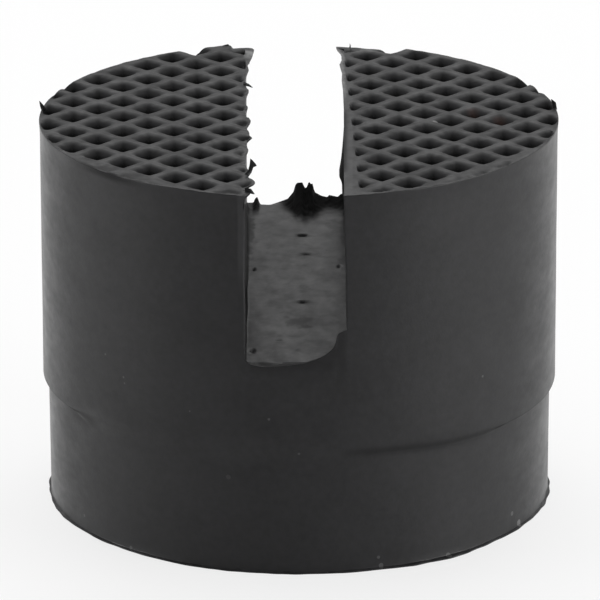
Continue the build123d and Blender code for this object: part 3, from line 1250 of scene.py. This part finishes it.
def rubber_material():
    material = bpy.data.materials.new("black_rubber")
    material.use_nodes = True
    tree = material.node_tree
    place = tree.nodes.new("ShaderNodeTexCoord").outputs["Object"]
    drawn = add_node(tree, "VectorMath", {0: place, 1: GRAIN}, operation="MULTIPLY").outputs["Vector"]
    # the torn look also carries painted shade
    torn = painted(tree, "torn")
    relief = {"Strength": 0.3, "Distance": 0.05 * MM, "Height": noise_at(tree, drawn, 0.35, 4)}
    inputs = {
        "Base Color": rubber_colour(tree, place, drawn, torn),
        "Roughness": rubber_roughness(tree, drawn, torn),
        "Specular IOR Level": 0.18,
        "Coat Weight": calc(tree, "SUBTRACT", COAT, calc(tree, "MULTIPLY", torn, COAT)),
        "Coat Roughness": 0.2,
        "Coat IOR": 1.2,
        "Normal": add_node(tree, "Bump", relief).outputs["Normal"],
    }
    fill(tree, tree.nodes["Principled BSDF"], inputs)
    return material


# Stage


FLOOR_HALF = 3.0
FLOOR_TONE = 0.86
FLOOR_WHITE = 0.78  # how much of the floor's brightness is plain white
ROOM_LEVEL = 0.35  # light of the room on matt surfaces
ROOM_MIRRORED = 0.4  # how bright glossy surfaces see it
ROOM_FRONT = 0.08  # the room is this dark on the side of the camera
ROOM_FADE = 0.5
WHITE = (1, 1, 1, 1)


def rays_that_show(tree, kinds):
    """1 for the kinds of ray named, else 0."""
    path = tree.nodes.new("ShaderNodeLightPath")
    shown = path.outputs[kinds[0]]
    for kind in kinds[1:]:
        shown = calc(tree, "MAXIMUM", shown, path.outputs[kind])
    return shown


def mixed(tree, share, first, second):
    """One shader, or a second one where the share is 1."""
    return add_node(tree, "MixShader", {0: share, 1: first, 2: second}).outputs[0]


def floor_material():
    """Pale, and partly plain white, so that it keeps the shadow."""
    material = bpy.data.materials.new("pale_floor")
    material.use_nodes = True
    tree = material.node_tree
    matt = tree.nodes["Principled BSDF"]
    tone = (FLOOR_TONE, FLOOR_TONE, FLOOR_TONE, 1)
    fill(tree, matt, {"Base Color": tone, "Roughness": 0.9, "Specular IOR Level": 0.0})
    white = tree.nodes.new("ShaderNodeEmission")
    seen = rays_that_show(tree, ("Is Camera Ray", "Is Glossy Ray", "Is Transmission Ray"))
    share = calc(tree, "MULTIPLY", seen, FLOOR_WHITE)
    surface = mixed(tree, share, matt.outputs[0], white.outputs[0])
    fill(tree, tree.nodes["Material Output"], {"Surface": surface})
    return material


def add_floor():
    mesh = bpy.data.meshes.new("floor")
    corners = [(-1, -1), (1, -1), (1, 1), (-1, 1)]
    mesh.from_pydata([(x * FLOOR_HALF, y * FLOOR_HALF, 0) for x, y in corners], [], [(0, 1, 2, 3)])
    mesh.materials.append(floor_material())
    floor = bpy.data.objects.new("floor", mesh)
    bpy.context.scene.collection.objects.link(floor)


def add_world():
    """White room, darker on the side of the camera."""
    world = bpy.data.worlds.new("studio")
    world.use_nodes = True
    bpy.context.scene.world = world
    tree = world.node_tree
    place = tree.nodes.new("ShaderNodeTexCoord").outputs["Generated"]
    depth = add_node(tree, "SeparateXYZ", {0: place}).outputs["Y"]
    inputs = {"From Min": -ROOM_FADE, "From Max": ROOM_FADE, "To Min": ROOM_FRONT, "To Max": 1}
    settings = {"interpolation_type": "SMOOTHSTEP"}
    level = add_node(tree, "MapRange", {"Value": depth, **inputs}, **settings).outputs[0]
    matt = tree.nodes["Background"]
    fill(tree, matt, {"Color": WHITE, "Strength": calc(tree, "MULTIPLY", level, ROOM_LEVEL)})
    glow = {"Color": WHITE, "Strength": calc(tree, "MULTIPLY", level, ROOM_MIRRORED)}
    mirrored = add_node(tree, "Background", glow)
    white = add_node(tree, "Background", {"Color": WHITE})
    glossy = rays_that_show(tree, ("Is Glossy Ray", "Is Transmission Ray"))
    camera = rays_that_show(tree, ("Is Camera Ray",))
    room = mixed(tree, glossy, matt.outputs[0], mirrored.outputs[0])
    surface = mixed(tree, camera, room, white.outputs[0])
    fill(tree, tree.nodes["World Output"], {"Surface": surface})


LIGHTS = (
    ("overhead", (0, 0.3, 0.85), 0.7, 0.7, 6),
    ("behind", (0, 0.8, 0.55), 0.9, 0.5, 1.32),
    ("left", (-0.85, -0.12, 0.12), 0.5, 0.3, 5),
    ("right", (0.82, -0.3, 0.12), 0.7, 0.3, 8.6),
)  # name, place in metres, width, height and power
LIGHT_AIM = Vector((0, 0, 0.03))


def add_light(name, place, width, height, power):
    light = bpy.data.lights.new(name, "AREA")
    light.shape = "RECTANGLE"
    light.size = width
    light.size_y = height
    light.energy = power
    lamp = bpy.data.objects.new(name, light)
    lamp.location = place
    lamp.rotation_euler = (LIGHT_AIM - Vector(place)).to_track_quat("-Z", "Y").to_euler()
    lamp.visible_glossy = name != "overhead"
    bpy.context.scene.collection.objects.link(lamp)


CAMERA_PLACE = Vector((0.00493, -0.7888, 0.2956))
CAMERA_AIM = Vector((0.00011, 0, 0.02485))
CAMERA_LENS = 394.9
CAMERA_ROLL = radians(-0.1)


def add_camera():
    camera = bpy.data.cameras.new("camera")
    camera.lens = CAMERA_LENS
    camera.sensor_width = 36
    camera.clip_start = 0.05
    camera.clip_end = 20
    holder = bpy.data.objects.new("camera", camera)
    look = (CAMERA_AIM - CAMERA_PLACE).to_track_quat("-Z", "Y").to_matrix()
    holder.location = CAMERA_PLACE
    holder.rotation_euler = (look @ Matrix.Rotation(CAMERA_ROLL, 3, "Z")).to_euler()
    bpy.context.scene.collection.objects.link(holder)
    bpy.context.scene.camera = holder


def add_pad():
    pad = bpy.data.objects.new("rubber_pad_skin", skin_mesh())
    bpy.context.scene.collection.objects.link(pad)
    pad.data.materials.append(rubber_material())
    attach(pad, BODY)
    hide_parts(NODE)


add_pad()
add_floor()
add_world()
for light in LIGHTS:
    add_light(*light)
add_camera()

bpy.context.scene.view_settings.view_transform = "Standard"
bpy.context.view_layer.update()
